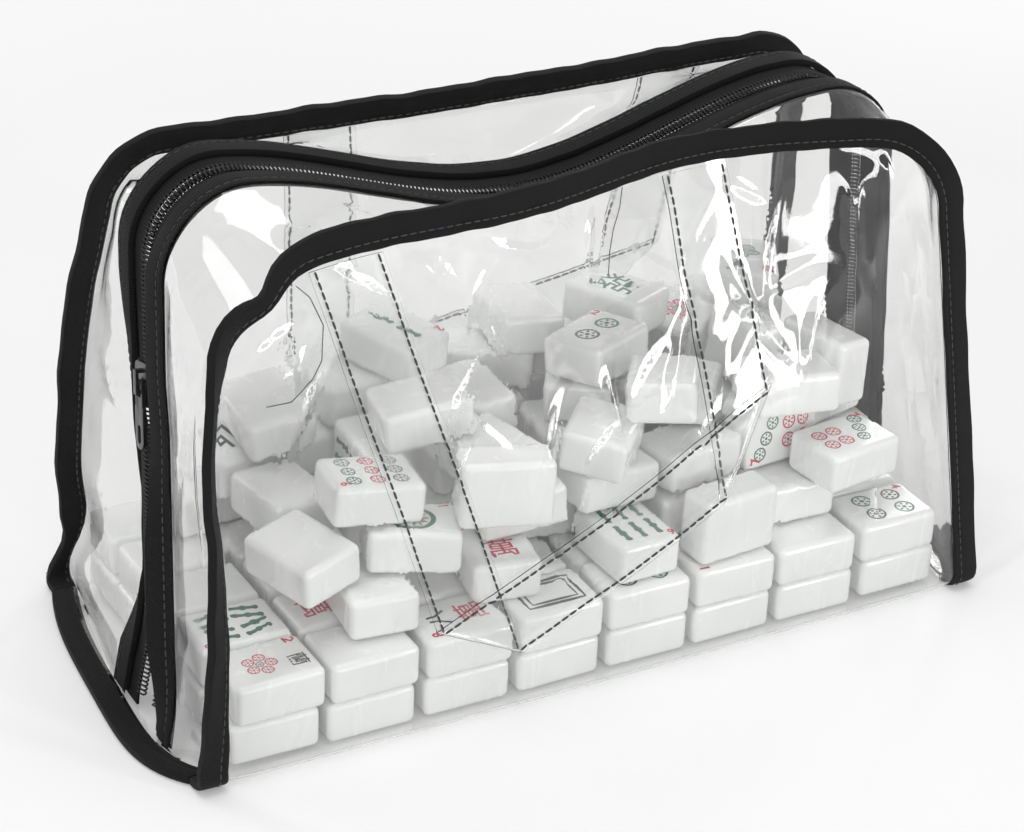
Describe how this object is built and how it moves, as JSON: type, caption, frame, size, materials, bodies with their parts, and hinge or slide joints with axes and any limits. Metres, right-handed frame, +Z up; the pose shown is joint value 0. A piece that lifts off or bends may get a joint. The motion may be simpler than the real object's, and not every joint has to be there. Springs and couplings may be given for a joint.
{
  "type": "mahjong case",
  "caption": "Clear film zip case with black woven bindings and sewn strap strips, holding a loose set of white mahjong tiles; its slider closes the left end of the zip.",
  "frame": {"origin": "on the table under the middle of the case", "axes": "+X along the front to the right, the front panel faces -Y, +Z up"},
  "size_m": [0.3508, 0.1515, 0.1934],
  "materials": {
    "clear_film": "clear, glossy, creased",
    "strap_film": "clear, glossy",
    "binding_tape": "ribbed woven tape",
    "zip_tape": "fine woven tape",
    "zip_teeth": "satin",
    "slider_paint": "gloss black paint",
    "black_thread": "sewing thread",
    "tile_white": "polished, printed faces"
  },
  "bodies": {
    "case": {"body_sheet": "clear_film", "front_gusset": "clear_film", "rear_gusset": "clear_film", "front_binding": "binding_tape", "rear_binding": "binding_tape", "left_bottom_binding": "binding_tape", "right_bottom_binding": "binding_tape", "front_zip_binding": "binding_tape", "rear_zip_binding": "binding_tape", "front_zip_tape": "zip_tape", "rear_zip_tape": "zip_tape", "front_zip_teeth": "zip_teeth", "rear_zip_teeth": "zip_teeth", "front_strap": "strap_film", "rear_strap": "strap_film", "front_strap_thread": "black_thread", "rear_strap_thread": "black_thread", "circle_tiles": "tile_white", "bamboo_tiles": "tile_white", "character_tiles": "tile_white", "wind_tiles": "tile_white", "dragon_tiles": "tile_white", "flower_tiles": "tile_white"},
    "slider": {"slider_body": "slider_paint"},
    "pull": {"pull_tab": "slider_paint"}
  },
  "joints": [
    {"name": "zip_slider", "type": "slide", "parent": "case", "child": "slider", "axis": [0.0853, 0.226, 0.9704], "range_m": [-0.077, 0]},
    {"name": "pull_hinge", "type": "hinge", "parent": "slider", "child": "pull", "pos_m": [-0.15119, 0.00268, 0.1203], "axis": [-0.0198, 0.9741, -0.2251], "range_deg": [0, 175]}
  ]
}
